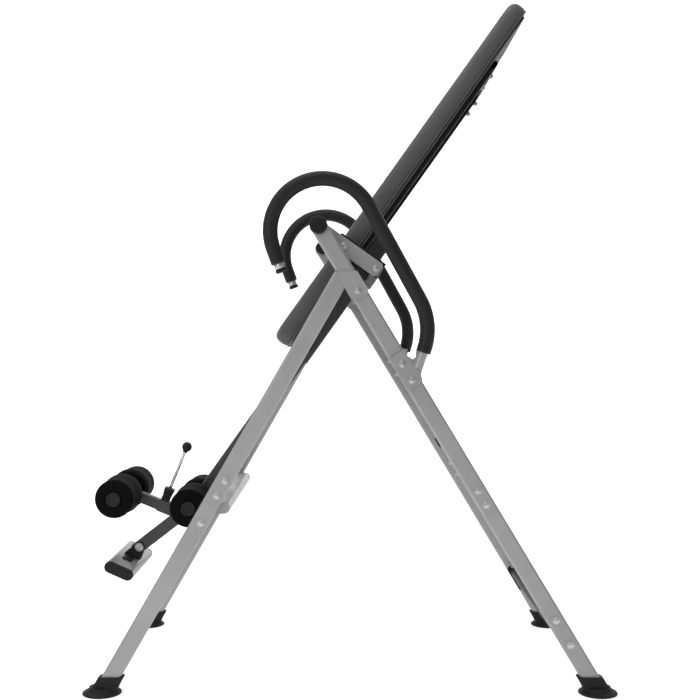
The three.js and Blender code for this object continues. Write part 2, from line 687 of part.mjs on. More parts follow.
function makeBoom(bed) {
  piece(bed, 'boom_tube', 'darkPaint', boomTube());
  piece(bed, 'rear_axle', 'darkPaint', axle(), REAR_AXLE.x, 0, REAR_AXLE.z);
  piece(bed, 'footrest_post', 'darkPaint', footrestPost());
  piece(bed, 'footrest_bolt', 'zinc', footrestBolt(), REST_BOLT.x, 0, REST_BOLT.z);
  for (const [name, side] of Object.entries(SIDES)) {
    piece(bed, `rear_roller_${name}`, 'foam', roller(side), REAR_AXLE.x, 0, REAR_AXLE.z);
  }
}

function makeAnkleLock(bed) {
  const lock = group(bed, ANKLE.x, 0, ANKLE.z, -ANKLE.lean);
  piece(lock, 'ankle_sleeve', 'darkPaint', ankleSleeve());
  piece(lock, 'ankle_slider', 'darkPaint', ankleSlider());
  piece(lock, 'front_axle', 'darkPaint', axle());
  piece(lock, 'latch_block', 'plastic', latchBlock());
  piece(lock, 'latch_rod', 'chrome', latchRod());
  piece(lock, 'latch_ball', 'plastic', latchBall());
  for (const [name, side] of Object.entries(SIDES)) {
    piece(lock, `front_roller_${name}`, 'foam', roller(side));
  }
}

// ---------------------------------------------------------------- footrest

function footrestPost() {
  const { width, depth, wall, length, angle } = POST;
  const outer = prism(roundedRectangle(width, depth, 3), -16, length, 1);
  const bore = roundedRectangle(width - 2 * wall, depth - 2 * wall, 1);
  const tube = cut(outer, prism(bore, -17, length + 1, 1), crossPin(HOLE_RADIUS, 20));
  const placed = tube.rotateY(angle).translate(REST_BOLT.x, 0, REST_BOLT.z);
  return cut(placed, sleeveEnvelope());
}

function footrestBolt() {
  const profile = [
    [0, -24], [7, -24], [10.5, -22], [10.5, -17.6], [BOLT_RADIUS, -17.6],
    [BOLT_RADIUS, 17.6], [9, 17.6], [9, 24], [0, 24],
  ];
  return turned(profile, 20);
}

function footrestBracket() {
  const face = REST.x + REST.width / 2 + GAP;
  const shape = new THREE.Shape();
  shape.moveTo(face, 30);
  shape.lineTo(face, -14);
  shape.absarc(0, 0, 13, -Math.PI / 2, Math.PI / 2);
  const cheeks = across(shape, -17.2, 17.2, 4);
  const slot = box([face + 3.5, 40], [-POST.depth / 2 - 0.4, POST.depth / 2 + 0.4], [-60, 60]);
  const base = box([face, face + 3.5], [-70, 70], [-2, 24]);
  return cut(join(cheeks, base), slot, crossPin(HOLE_RADIUS, 30));
}

function makeFootrest(bed) {
  const rest = group(bed, REST_BOLT.x, 0, REST_BOLT.z, REST.lean);
  piece(rest, 'footrest_bracket', 'blackPaint', footrestBracket());
  const oval = (trim, half) => {
    const shape = flatOval(REST.height - trim, REST.width - trim);
    return across(shape, -half, half).rotateY(Math.PI / 2);
  };
  const bar = cut(oval(0, REST.half), oval(4, REST.half + 1));
  piece(rest, 'footrest_bar', 'silverPaint', bar, REST.x, 0, REST.z);
  for (const [name, side] of Object.entries(SIDES)) {
    const y = side * (REST.half + GAP + REST_CAP / 2);
    piece(rest, `footrest_cap_${name}`, 'plastic', oval(0, REST_CAP / 2), REST.x, y, REST.z);
  }
}

// ---------------------------------------------------------------- the whole table

function makeTable() {
  const table = new THREE.Group();
  for (const [name, side] of Object.entries(SIDES)) {
    rearStand(table, name, side);
    frontStand(table, name, side);
    handle(table, name, side);
  }
  rearCrossBar(table);
  frontCrossBar(table);
  const bed = group(table, PIVOT.x, 0, PIVOT.z, -BED_ANGLE);
  makeBed(bed);
  piece(bed, 'height_pin', 'plastic', heightPin());
  makeBoom(bed);
  makeAnkleLock(bed);
  makeFootrest(bed);
  return table;
}

export default makeTable();
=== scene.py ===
# %% [markdown]
# # A folding inversion table
#
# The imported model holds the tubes, pins and plates in their true places. This lesson gives every
# surface its finish, swaps the coarse round pieces for smooth ones, pads the back rest with a
# cloth simulation, and sets up a plain studio. Lengths are in metres, +Z is up, and X runs from
# the foot end to the head end. The user's left side is -Y.

# %% Load the model
import json
from math import atan2, cos, degrees, hypot, pi, radians, sin

import bmesh
import bpy
from mathutils import Matrix, Vector


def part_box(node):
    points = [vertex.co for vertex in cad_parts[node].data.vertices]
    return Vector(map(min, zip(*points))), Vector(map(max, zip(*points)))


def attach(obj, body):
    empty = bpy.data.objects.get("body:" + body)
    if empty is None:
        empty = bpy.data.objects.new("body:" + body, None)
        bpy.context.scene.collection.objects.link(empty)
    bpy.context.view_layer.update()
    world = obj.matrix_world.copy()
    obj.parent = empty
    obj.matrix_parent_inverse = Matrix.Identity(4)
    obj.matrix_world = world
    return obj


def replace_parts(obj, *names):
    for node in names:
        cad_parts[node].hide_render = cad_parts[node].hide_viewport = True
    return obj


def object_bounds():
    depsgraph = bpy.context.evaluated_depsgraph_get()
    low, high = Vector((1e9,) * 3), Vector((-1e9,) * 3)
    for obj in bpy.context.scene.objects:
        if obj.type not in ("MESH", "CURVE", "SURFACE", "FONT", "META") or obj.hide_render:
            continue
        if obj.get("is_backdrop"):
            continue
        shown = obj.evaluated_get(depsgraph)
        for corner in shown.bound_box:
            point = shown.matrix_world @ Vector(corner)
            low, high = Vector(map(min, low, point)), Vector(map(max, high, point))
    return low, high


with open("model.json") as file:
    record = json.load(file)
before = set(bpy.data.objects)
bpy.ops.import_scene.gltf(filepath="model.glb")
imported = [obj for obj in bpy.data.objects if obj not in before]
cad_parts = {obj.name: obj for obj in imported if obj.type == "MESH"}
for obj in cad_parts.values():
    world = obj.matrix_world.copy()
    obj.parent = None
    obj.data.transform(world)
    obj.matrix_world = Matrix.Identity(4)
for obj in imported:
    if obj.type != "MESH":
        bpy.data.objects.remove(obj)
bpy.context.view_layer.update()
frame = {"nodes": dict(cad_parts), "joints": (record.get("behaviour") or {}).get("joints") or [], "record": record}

MM = 0.001
SIDES = {"left": -1, "right": 1}

# %% [markdown]
# ## Places
# Almost everything on this machine is drawn in a leaning side view: the bed, the ankle lock and
# each leg has its own slope. A matrix for each of them lets a piece be described as if it lay
# level, and the joints of the model say where the matrices go.

# %% The slopes and centres of the machine
ACROSS = Vector((0, 1, 0))
JOINTS = {joint["name"]: joint for joint in frame["joints"]}


def joint_place(name):
    return Vector(JOINTS[name]["pos_m"])


def joint_axis(name):
    return Vector(JOINTS[name]["axis"])


def leaning(origin, forward):
    """Axes with X along forward in the side view, Y across, and Z square to both."""
    x = forward.normalized()
    turn = Matrix((x, ACROSS, x.cross(ACROSS))).transposed().to_4x4()
    return Matrix.Translation(origin) @ turn


PIVOT = joint_place("bed_tilt")
BED = leaning(PIVOT, -joint_axis("boom_slide"))
ANKLE = leaning(joint_place("front_roller_spin_left"), joint_axis("latch_pull"))
REAR_AXLE = leaning(joint_place("rear_roller_spin_left"), -joint_axis("boom_slide"))
FOOTREST = BED @ Matrix.Translation(BED.inverted() @ joint_place("footrest_flip"))
FOOTREST = FOOTREST @ Matrix.Rotation(radians(-11.4), 4, "Y")

REAR_LEAN = atan2(586 * MM - PIVOT.x, PIVOT.z)
FRONT_LEAN = radians(29.9)
FRONT_AXIS = -50.4 * MM  # the front leg's axis passes the fold bolt at this distance
REAR_LEG = Matrix.Translation(PIVOT) @ Matrix.Rotation(-REAR_LEAN, 4, "Y")
FRONT_LEG = Matrix.Translation(joint_place("frame_fold")) @ Matrix.Rotation(FRONT_LEAN, 4, "Y")
FRONT_LEG = FRONT_LEG @ Matrix.Translation((FRONT_AXIS, 0, 0))
LEGS = {"rear": REAR_LEG, "front": FRONT_LEG}
LEG_WIDTH, LEG_DEPTH = 40 * MM, 25 * MM


def spans(node, place):
    """The least and greatest x, y and z of a model node, measured in leaning axes."""
    level = place.inverted()
    points = [level @ v.co for v in frame["nodes"][node].data.vertices]
    return [(min(p[i] for p in points), max(p[i] for p in points)) for i in range(3)]


print("pivot at", [round(c, 3) for c in PIVOT])

# %% [markdown]
# ## The camera
# The machine is seen square from its left side, from hip height, with a normal lens. A camera
# that looks level keeps the uprights of the frame from converging.

# %% Set the camera
EYE = Vector((-0.028, -2.8, 0.8176))
camera_data = bpy.data.cameras.new("camera")
camera_data.sensor_width = 36
camera_data.lens = 54.57
camera_data.shift_x = 0.0171
camera_data.shift_y = -0.0071
camera = bpy.data.objects.new("camera", camera_data)
camera.location = EYE
camera.rotation_euler = (radians(90), 0, 0)
bpy.context.scene.collection.objects.link(camera)
bpy.context.scene.camera = camera
print("camera", round(degrees(camera_data.angle), 1), "degrees wide")

# %% [markdown]
# ## A small language for finishes
# A finish is a Principled shader with a few procedural layers. Writing `0.4 + 0.2 * grain` reads
# better than wiring boxes, so one class wraps a socket and turns Python's operators into Math
# nodes, and one method makes every other kind of node.


# %% Sockets that can be calculated with
class Layer:
    """A number, colour or vector that varies over a surface."""

    def __init__(self, finish, socket):
        self.finish = finish
        self.socket = socket

    def maths(self, operation, first, second):
        settings = {"operation": operation}
        return self.finish.node("ShaderNodeMath", settings, {0: first, 1: second})

    def __add__(self, other):
        return self.maths("ADD", self, other)

    def __radd__(self, other):
        return self.maths("ADD", other, self)

    def __sub__(self, other):
        return self.maths("SUBTRACT", self, other)

    def __rsub__(self, other):
        return self.maths("SUBTRACT", other, self)

    def __mul__(self, other):
        return self.maths("MULTIPLY", self, other)

    def __rmul__(self, other):
        return self.maths("MULTIPLY", other, self)


class Finish:
    """A Principled material: constants go on the shader, layers go in by node."""

    def __init__(self, name, **constants):
        self.material = bpy.data.materials.new(name)
        self.material.use_nodes = True
        self.tree = self.material.node_tree
        self.tree.nodes.clear()
        self.shader = self.tree.nodes.new("ShaderNodeBsdfPrincipled")
        output = self.tree.nodes.new("ShaderNodeOutputMaterial")
        self.tree.links.new(self.shader.outputs[0], output.inputs["Surface"])
        self.where = self.node("ShaderNodeTexCoord", out="Object")
        self.set(**constants)

    def node(self, kind, settings=None, sockets=None, out=0):
        made = self.tree.nodes.new(kind)
        for key, value in (settings or {}).items():
            if key == "stops":
                self.set_stops(made.color_ramp, value)
            else:
                setattr(made, key, value)
        for key, value in (sockets or {}).items():
            self.feed(made.inputs[key], value)
        return Layer(self, made.outputs[out])

    @staticmethod
    def set_stops(ramp, stops):
        while len(ramp.elements) < len(stops):
            ramp.elements.new(1)
        for element, (place, grey) in zip(ramp.elements, stops):
            element.position = place
            element.color = (grey, grey, grey, 1)

    def feed(self, socket, value):
        if isinstance(value, Layer):
            self.tree.links.new(value.socket, socket)
        else:
            socket.default_value = value

    def set(self, **sockets):
        for name, value in sockets.items():
            self.feed(self.shader.inputs[name.replace("_", " ")], value)

    def noise(self, scale, detail=2.0, roughness=0.5, stretch=None):
        where = self.stretched(stretch) if stretch else self.where
        sockets = {"Vector": where, "Scale": scale, "Detail": detail, "Roughness": roughness}
        return self.node("ShaderNodeTexNoise", None, sockets)

    def cells(self, scale, feature="F1"):
        settings = {"feature": feature}
        sockets = {"Vector": self.where, "Scale": scale}
        return self.node("ShaderNodeTexVoronoi", settings, sockets)

    def stretched(self, by):
        settings = {"operation": "MULTIPLY"}
        return self.node("ShaderNodeVectorMath", settings, {0: self.where, 1: by})

    def ramp(self, layer, stops):
        return self.node("ShaderNodeValToRGB", {"stops": stops}, {0: layer})

    def mix(self, factor, dark, light):
        sockets = {"Factor": factor, "A": (*dark, 1), "B": (*light, 1)}
        made = self.tree.nodes.new("ShaderNodeMix")
        made.data_type = "RGBA"
        self.feed(made.inputs[0], sockets["Factor"])
        self.feed(made.inputs[6], sockets["A"])
        self.feed(made.inputs[7], sockets["B"])
        return Layer(self, made.outputs[2])

    def raised(self, height, distance, strength=1.0):
        sockets = {"Height": height, "Distance": distance, "Strength": strength}
        self.set(Normal=self.node("ShaderNodeBump", None, sockets, "Normal"))


print("finishes are ready to be mixed")

# %% [markdown]
# ## Painted steel
# The frame is powder coated. Powder melts into a skin with a faint orange-peel, tiny flakes that
# glint in the silver one, and dull scuffs where the machine has been folded and carried.


# %% Mix the powder coats
def powder_coat(name, dark, light, roughness, metallic, flake, gloss=0.4):
    coat = Finish(name, Metallic=metallic, Specular_IOR_Level=gloss)
    clouds = coat.noise(7, detail=4, roughness=0.6)
    flakes = coat.noise(1500, detail=1)
    scuffs = coat.ramp(coat.noise(24, 6, 0.75, (1, 1, 0.35)), [(0.6, 0), (0.72, 1)])
    shade = coat.ramp(clouds * 0.55 + flakes * flake, [(0.25, 0), (0.75, 1)])
    coat.set(Base_Color=coat.mix(shade, dark, light))
    coat.set(Roughness=roughness + 0.14 * scuffs + 0.1 * flakes)
    peel = coat.noise(420, detail=2) + 0.35 * flakes
    coat.raised(peel, 0.05 * MM, 0.5)
    return coat.material


SILVER = powder_coat("silver_powder_coat", (0.25, 0.25, 0.248), (0.36, 0.36, 0.356), 0.38, 0.4, 0.6)
GUNMETAL = powder_coat(
    "gunmetal_powder_coat", (0.035, 0.036, 0.038), (0.066, 0.067, 0.07), 0.38, 0.3, 0.5)
BLACK_COAT = powder_coat(
    "black_powder_coat", (0.009, 0.009, 0.01), (0.02, 0.02, 0.021), 0.5, 0.0, 0.4, 0.16)
print("three powder coats")

# %% [markdown]
# ## Bright metal
# The bolts are zinc plated, which leaves a fine cloudy grain. The latch's rod is chromed, so it
# is nearly a mirror, with a faint cloudy change in its tone and roughness.


# %% Mix the zinc and the chrome
def bright_metal(name, dark, light, roughness, grain, height):
    metal = Finish(name, Metallic=1.0)
    cloud = metal.noise(grain, detail=4, roughness=0.65)
    metal.set(Base_Color=metal.mix(cloud, dark, light))
    metal.set(Roughness=roughness + 0.18 * cloud)
    if height:
        metal.raised(metal.noise(grain * 6, detail=2), height, 0.4)
    return metal.material


ZINC = bright_metal("zinc_plate", (0.36, 0.36, 0.355), (0.6, 0.6, 0.59), 0.26, 160, 0.06 * MM)
CHROME = bright_metal("chrome_plate", (0.74, 0.74, 0.75), (0.9, 0.9, 0.9), 0.1, 60, 0)
print("zinc and chrome")

# %% [markdown]
# ## Plastic, rubber and foam
# Moulded caps have a fine spark-eroded texture. Rubber is duller, with dust in its pores. The
# grips are smooth extruded foam with a soft sheen, and the ankle rollers are an open, matt foam
# whose cut cells show as tiny pits. In both foams each pit is painted darker towards its centre,
# as painted shade.


# %% Mix the black mouldings and foams
def moulded(name, dark, light, roughness, grain, height, **constants):
    skin = Finish(name, **constants)
    cloud = skin.noise(18, detail=4, roughness=0.6)
    texture = skin.noise(grain, detail=3, roughness=0.6)
    skin.set(Base_Color=skin.mix(cloud, dark, light))
    skin.set(Roughness=roughness + 0.12 * cloud + 0.08 * texture)
    skin.raised(texture, height, 0.6)
    return skin.material


def cut_foam(name, dark, light, roughness, cell, height, gloss):
    foam = Finish(name, Specular_IOR_Level=gloss)
    pits = foam.cells(cell)
    fine = foam.noise(cell * 1.6, detail=3, roughness=0.7)
    worn = foam.noise(9, detail=3, roughness=0.6)
    # Pit centres sink in the bump and are painted darker too: painted shade in the pits, mixed with random wear.
    wear_and_painted_shade = foam.ramp(worn * 0.7 + pits * 0.6, [(0.3, 0), (0.85, 1)])
    foam.set(Base_Color=foam.mix(wear_and_painted_shade, dark, light))
    foam.set(Roughness=roughness + 0.12 * worn)
    foam.raised(pits * 0.7 + fine * 0.5, height, 0.7)
    return foam.material


DULL = {"Specular_IOR_Level": 0.22}
PLASTIC = moulded(
    "black_plastic", (0.006, 0.006, 0.007), (0.012, 0.012, 0.013), 0.38, 900, 0.04 * MM, **DULL)
RUBBER = moulded(
    "black_rubber", (0.007, 0.007, 0.007), (0.017, 0.017, 0.017), 0.58, 500, 0.1 * MM, **DULL)
NYLON = moulded("natural_nylon", (0.6, 0.58, 0.52), (0.72, 0.7, 0.64), 0.4, 700, 0.03 * MM)
GRIP_FOAM = cut_foam(
    "grip_foam", (0.007, 0.007, 0.007), (0.016, 0.016, 0.017), 0.4, 900, 0.1 * MM, 0.2)
ROLLER_FOAM = cut_foam(
    "roller_foam", (0.0015, 0.0015, 0.0015), (0.004, 0.004, 0.004), 0.75, 420, 0.35 * MM, 0.06)
print("plastic, rubber, nylon and two foams")

# %% [markdown]
# ## Vinyl and board
# The cover is leathercloth: rounded pebbles with creases between them, pressed into vinyl. The
# distance to the nearest Voronoi edge gives exactly that, and a slower noise lets the pebbles
# rise and sink. The creases are also painted darker, as painted shade. Behind it is a stained
# board whose grain runs along the bed.


# %% Mix the leathercloth and the board
def leathercloth():
    vinyl = Finish("charcoal_leathercloth", Specular_IOR_Level=0.35)
    creases = vinyl.ramp(vinyl.cells(620, "DISTANCE_TO_EDGE"), [(0.0, 0), (0.14, 1)])
    swell = vinyl.noise(90, detail=3, roughness=0.6)
    rubbed = vinyl.noise(5, detail=4, roughness=0.6)
    # Creases sink in the bump and are painted darker too: painted shade in the creases, mixed with random rubbed
    # wear.
    wear_and_painted_shade = vinyl.ramp(creases * 0.45 + rubbed * 0.6, [(0.25, 0), (0.95, 1)])
    vinyl.set(Base_Color=vinyl.mix(wear_and_painted_shade, (0.045, 0.046, 0.048), (0.085, 0.086, 0.089)))
    vinyl.set(Roughness=0.5 - 0.1 * rubbed + 0.06 * swell)
    vinyl.raised(creases * 0.8 + swell * 0.5, 0.16 * MM, 0.6)
    return vinyl.material


def stained_board():
    board = Finish("stained_board")
    grain = board.noise(60, 5, 0.7, (1, 6, 1))
    board.set(Base_Color=board.mix(grain, (0.016, 0.015, 0.014), (0.045, 0.042, 0.038)))
    board.set(Roughness=0.6 + 0.2 * grain)
    board.raised(grain, 0.2 * MM, 0.5)
    return board.material


VINYL = leathercloth()
BOARD = stained_board()
print("leathercloth and board")

# %% [markdown]
# ## Finishing the pieces that stay
# Tubes, plates and brackets keep their modelled shape, so they only need their finish.

# %% Paint the model's own pieces
PAINT = {
    "silver_paint": SILVER,
    "dark_paint": GUNMETAL,
    "black_paint": BLACK_COAT,
    "zinc": ZINC,
    "chrome": CHROME,
    "black_plastic": PLASTIC,
    "nylon": NYLON,
    "rubber": RUBBER,
    "grip_foam": GRIP_FOAM,
    "roller_foam": ROLLER_FOAM,
    "pad_vinyl": VINYL,
    "board": BOARD,
}
for subpart in frame["record"]["subparts"]:
    node = frame["nodes"][subpart["node"]]
    if not node.material_slots:
        node.data.materials.append(None)
    node.material_slots[0].material = PAINT[subpart["material_slot"]]

# %% [markdown]
# ## Lofting
# Every round, oval or swept piece here is a loft: a row of matching outlines with skin between
# them and a cap at each end. One class collects the skins, so that a bolt's washer, head and
# shank can be one mesh.


# %% Outlines and lofts
def ring_points(radius, count=48):
    turns = [2 * pi * i / count for i in range(count)]
    return [(radius * cos(a), radius * sin(a)) for a in turns]


def oval_points(width, height, count=14):
    """A flat oval that is long in x, as [x, z] pairs."""
    radius = height / 2
    run = width / 2 - radius
    ends = [(run, -pi / 2), (-run, pi / 2)]
    points = []
    for x, start in ends:
        for i in range(count + 1):
            a = start + pi * i / count
            points.append((x + radius * cos(a), radius * sin(a)))
    return points


def square_points(width, height, corner, count=4):
    points = []
    for i, (x, z) in enumerate([(1, 1), (-1, 1), (-1, -1), (1, -1)]):
        centre = (x * (width / 2 - corner), z * (height / 2 - corner))
        for k in range(count + 1):
            a = pi / 2 * (i + k / count)
            points.append((centre[0] + corner * cos(a), centre[1] + corner * sin(a)))
    return points


class Loft:
    """Skins that are collected into one mesh."""

    def __init__(self):
        self.points = []
        self.faces = []

    def skin(self, rings, place=Matrix()):
        start, count = len(self.points), len(rings[0])
        for ring in rings:
            self.points += [place @ Vector(point) for point in ring]
        for row in range(len(rings) - 1):
            a = start + row * count
            for i in range(count):
                j = (i + 1) % count
                self.faces.append((a + i, a + j, a + count + j, a + count + i))
        last = start + (len(rings) - 1) * count
        self.faces.append(tuple(range(start, start + count)))
        self.faces.append(tuple(range(last + count - 1, last - 1, -1)))
        return self

    def turned(self, profile, place=Matrix(), count=48):
        """A skin turned about the Y axis, from [radius, y] pairs."""
        rings = []
        for radius, y in profile:
            rings.append([(x, y, z) for x, z in ring_points(radius, count)])
        return self.skin(rings, place)

    def across(self, outline, y_from, y_to, place=Matrix(), ease=0.0):
        """A side-view outline made thick across Y, with eased edges."""
        rings = []
        for y, shrink in [(y_from, ease), (y_from + ease, 0), (y_to - ease, 0), (y_to, ease)]:
            rings.append([(x, y, z) for x, z in shrunk(outline, shrink)])
        return self.skin(rings, place)

    def piece(self, name, material, body, sharp=40):
        mesh = bpy.data.meshes.new(name)
        mesh.from_pydata(self.points, [], self.faces)
        skin = bmesh.new()
        skin.from_mesh(mesh)
        bmesh.ops.recalc_face_normals(skin, faces=skin.faces)
        skin.to_mesh(mesh)
        skin.free()
        mesh.shade_smooth()
        mesh.set_sharp_from_angle(angle=radians(sharp))
        mesh.materials.append(material)
        made = bpy.data.objects.new(name, mesh)
        bpy.context.scene.collection.objects.link(made)
        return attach(made, body)


def shrunk(outline, by):
    """An outline drawn in towards its middle by about this much."""
    if not by:
        return outline
    x = sum(p[0] for p in outline) / len(outline)
    z = sum(p[1] for p in outline) / len(outline)
    drawn = []
    for px, pz in outline:
        away = hypot(px - x, pz - z) or 1.0
        drawn.append((px - (px - x) * by / away, pz - (pz - z) * by / away))
    return drawn


def eased(radius, start, end, edge, steps=6):
    """The profile of a drum whose two edges are rounded."""
    bend = [pi / 2 * i / steps for i in range(steps + 1)]
    near = [(radius - edge + edge * sin(a), start + edge - edge * cos(a)) for a in bend]
    far = [(r, end - (y - start)) for r, y in reversed(near)]
    return near + far


def shifted(place, x=0.0, y=0.0, z=0.0):
    return place @ Matrix.Translation((x, y, z))


print("lofts are ready")

# %% [markdown]
# ## The handles
# Each handle is one bent tube: an arch over the pivot, a straight run, a bend and a stub that is
# bolted to the rear leg. A thick foam sleeve covers all but its two ends. Sweeping a circle along
# the centre line keeps the bends smooth, and the sleeve's ends are rolled in slightly, as they
# are on foam that has been pushed along a tube.

# %% The handle's centre line
ARCH = {"x": -64 * MM, "z": 1082 * MM, "radius": 121 * MM, "start": 200.0, "end": 28.7}
LEAD = 37 * MM  # straight run at the free end of the arch
RUN = 248.3 * MM
BEND = {"radius": 143 * MM, "angle": 47.7}
HANDLE_Y = 346 * MM


def towards(angle, distance):
    return Vector((distance * cos(radians(angle)), 0, distance * sin(radians(angle))))


def arc(centre, radius, start, end, step=4.0):
    count = max(2, round(abs(end - start) / step))
    angles = [start + (end - start) * i / count for i in range(count + 1)]
    return [centre + towards(a, radius) for a in angles]


def handle_line(before, after):
    """Points along the centre line, with a bare length before and after the sleeve."""
    arch = arc(Vector((ARCH["x"], 0, ARCH["z"])), ARCH["radius"], ARCH["start"], ARCH["end"])
    down = ARCH["end"] - 90
    run_end = arch[-1] + towards(down, RUN)
    centre = run_end + towards(down - 90, BEND["radius"])
    bend = arc(centre, BEND["radius"], down + 90, down + 90 - BEND["angle"])
    straight = (LEAD + before) / 6
    lead = [arch[0] + towards(ARCH["start"] + 90, straight * i) for i in (6, 5, 4, 3, 2, 1)]
    tail = [bend[-1] + towards(down - BEND["angle"], after * i / 4) for i in (1, 2, 3, 4)]
    run = [arch[-1].lerp(run_end, i / 12) for i in range(1, 12)]
    return lead + arch + run + bend + tail


def swept(line, y, radius_at, count=40):
    """Rings of a sweep in the side view, with a radius for each length along the line."""
    along = [0.0]
    for a, b in zip(line, line[1:]):
        along.append(along[-1] + (b - a).length)
    rings = []
    for i, point in enumerate(line):
        ahead, behind = line[min(i + 1, len(line) - 1)], line[max(i - 1, 0)]
        side = (ahead - behind).normalized().cross(ACROSS)
        radius = radius_at(along[i], along[-1])
        centre = point + Vector((0, y, 0))
        rings.append([centre + side * u + ACROSS * v for u, v in ring_points(radius, count)])
    return rings


# %% Make the handles
def rolled_end(length, total):
    """The sleeve's radius: full, but drawn in over the last few millimetres."""
    near = min(length, total - length)
    roll = max(0.0, 1 - near / (4 * MM))
    return 17.5 * MM - 3.2 * MM * roll * roll


def with_ends(line, spacing):
    """The same line with extra points close to each end, for a rolled edge."""
    first, second, before, last = line[0], line[1], line[-2], line[-1]
    start = [first + (second - first).normalized() * s for s in spacing]
    end = [last + (before - last).normalized() * s for s in reversed(spacing)]
    return [first] + start + line[1:-1] + end + [last]


for name, side in SIDES.items():
    y = side * HANDLE_Y
    covered = with_ends(handle_line(0, 7.6 * MM), [0.6 * MM, 1.6 * MM, 2.8 * MM])
    sleeve = swept(covered, y, rolled_end)
    grip = Loft().skin(sleeve).piece(f"foam_grip_{name}", GRIP_FOAM, "rear_frame", 60)
    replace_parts(grip, f"handle_grip_{name}")
    bare = swept(handle_line(12 * MM, 46 * MM), y, lambda length, total: 11.5 * MM)
    tube = Loft().skin(bare).piece(f"bent_tube_{name}", SILVER, "rear_frame")
    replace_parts(tube, f"handle_tube_{name}")

# %% [markdown]
# The free end of each handle shows a short bright ferrule and a push-in cap.


# %% Cap the handles' free ends
def tube_end(point, angle):
    """Axes at a point whose Y runs along an angle of the side view."""
    y = towards(angle, 1)
    x = ACROSS
    return Matrix.Translation(point) @ Matrix((x, y, x.cross(y))).transposed().to_4x4()


for name, side in SIDES.items():
    tip = handle_line(12 * MM, 0)[0] + Vector((0, side * HANDLE_Y, 0))
    place = tube_end(tip, ARCH["start"] + 90)
    cap = eased(13.4 * MM, 0.2 * MM, 9.4 * MM, 2.4 * MM)
    made = Loft().turned(cap, place).piece(f"grip_cap_{name}", PLASTIC, "rear_frame")
    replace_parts(made, f"handle_tip_{name}")
    outline = [(12.1, -11), (12.6, -10.4), (12.6, -0.6), (12.1, 0)]
    ferrule = [(r * MM, y * MM) for r, y in outline]
    ring = Loft().turned(ferrule, place).piece(f"ferrule_{name}", ZINC, "rear_frame")
print("caps and ferrules")

# %% [markdown]
# ## The ankle rollers
# Four foam drums turn on two axles. The foam is a thick sleeve on a plastic core, so its ends
# show a soft rounded shoulder, a slightly dished face and the cap of the axle in the middle.


# %% Make the rollers and their axles
# How far the foam stands proud, in millimetres, by the share of the way out from its inner end.
FOAM_SWELL = [(0.12, 2.6), (0.22, 3.0), (0.4, 1.2), (0.6, -0.8), (0.8, -0.6)]


def roller_profile(radius, inner, outer):
    shoulder = eased(radius, inner, outer, 9 * MM, 8)
    face = [(0.42 * radius, outer - 1.2 * MM), (0.40 * radius, outer - 3.0 * MM)]
    back = [(0.40 * radius, inner + 3.0 * MM), (0.42 * radius, inner + 1.2 * MM)]
    length = outer - inner
    middle = [(radius + bulge * MM, inner + share * length) for share, bulge in FOAM_SWELL]
    half = len(shoulder) // 2
    return back + shoulder[:half] + middle + shoulder[half:] + face


def make_roller(end, name, side, place):
    node = f"{end}_roller_{name}"
    low, high = spans(node, place)[1]
    radius = spans(node, place)[2][1]
    inner, outer = (low, high) if side > 0 else (-high, -low)
    profile = [(r, side * y) for r, y in roller_profile(radius, inner, outer)]
    foam = Loft().turned(profile, place, 64).piece(f"{end}_foam_{name}", ROLLER_FOAM, node, 50)
    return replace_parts(foam, node)


def make_axle(node, body, place):
    half = spans(node, place)[1][1]
    cap = eased(18 * MM, half - 5 * MM, half, 1.8 * MM)
    dimple = [(12 * MM, half), (11.2 * MM, half - 1.4 * MM)]
    bar = [(8 * MM, -half + 4 * MM), (8 * MM, half - 4 * MM)]
    rod = Loft().turned(bar, place).piece(f"{node}_bar", GUNMETAL, body)
    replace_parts(rod, node)
    for name, side in SIDES.items():
        profile = [(r, side * y) for r, y in cap + dimple]
        disc = Loft().turned(profile, place).piece(f"{node}_cap_{name}", PLASTIC, body)


for name, side in SIDES.items():
    make_roller("rear", name, side, REAR_AXLE)
    make_roller("front", name, side, ANKLE)
make_axle("rear_axle", "boom", REAR_AXLE)
make_axle("front_axle", "ankle_slider", ANKLE)
print("rollers", round(2000 * spans("front_roller_left", ANKLE)[2][1]), "mm across")

# %% [markdown]
# ## The feet
# Each foot is a wide rubber disc with a domed shoulder and a collar that leans with the leg and
# is cut off level. The disc is turned, the collar is a loft whose outlines slide along the leg.


# %% Mould the feet
def on_leg(end, height):
    """The x of a leg's axis at a height above the floor, and how far it leans per metre."""
    up = LEGS[end].to_3x3() @ Vector((0, 0, 1))
    lean = up.x / up.z
    start = LEGS[end].translation
    return start.x + (height - start.z) * lean, lean


def make_foot(end, name):
    node = f"{end}_foot_{name}"
    low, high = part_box(node)
    radius = 45.5 * MM
    x = high.x - radius if end == "rear" else low.x + radius
    y = (low.y + high.y) / 2
    disc = [(44.5, 0), (45.5, 0.8), (45.5, 2.6), (44.2, 4.0), (40, 6.2), (36, 7.6)]
    disc += [(32.6, 9.8), (30.6, 13), (29.6, 16)]
    upright = Matrix.Translation((x, y, 0)) @ Matrix.Rotation(pi / 2, 4, "X")
    foot = Loft().turned([(r * MM, h * MM) for r, h in disc], upright, 64)
    rings = []
    for height, grow in [(6, 8.0), (14, 6.7), (26, 5.9), (35, 6.1), (38.6, 6.1), (40, 4.7)]:
        centre, lean = on_leg(end, height * MM)
        width = (LEG_WIDTH + 2 * grow * MM) * hypot(1, lean)
        outline = square_points(width, LEG_DEPTH + 2 * grow * MM, 9 * MM)
        rings.append([(centre + px, y + py, height * MM) for px, py in outline])
    made = foot.skin(rings).piece(f"{end}_rubber_foot_{name}", RUBBER, f"{end}_frame", 35)
    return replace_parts(made, node)


for name in SIDES:
    for end in LEGS:
        make_foot(end, name)
print("feet under legs that lean", [round(on_leg(end, 0)[1], 3) for end in LEGS], "per metre")

# %% [markdown]
# ## Caps on the pivots
# The bed hangs on a pin at the top of each rear leg, and a round cap with turned rings covers it.


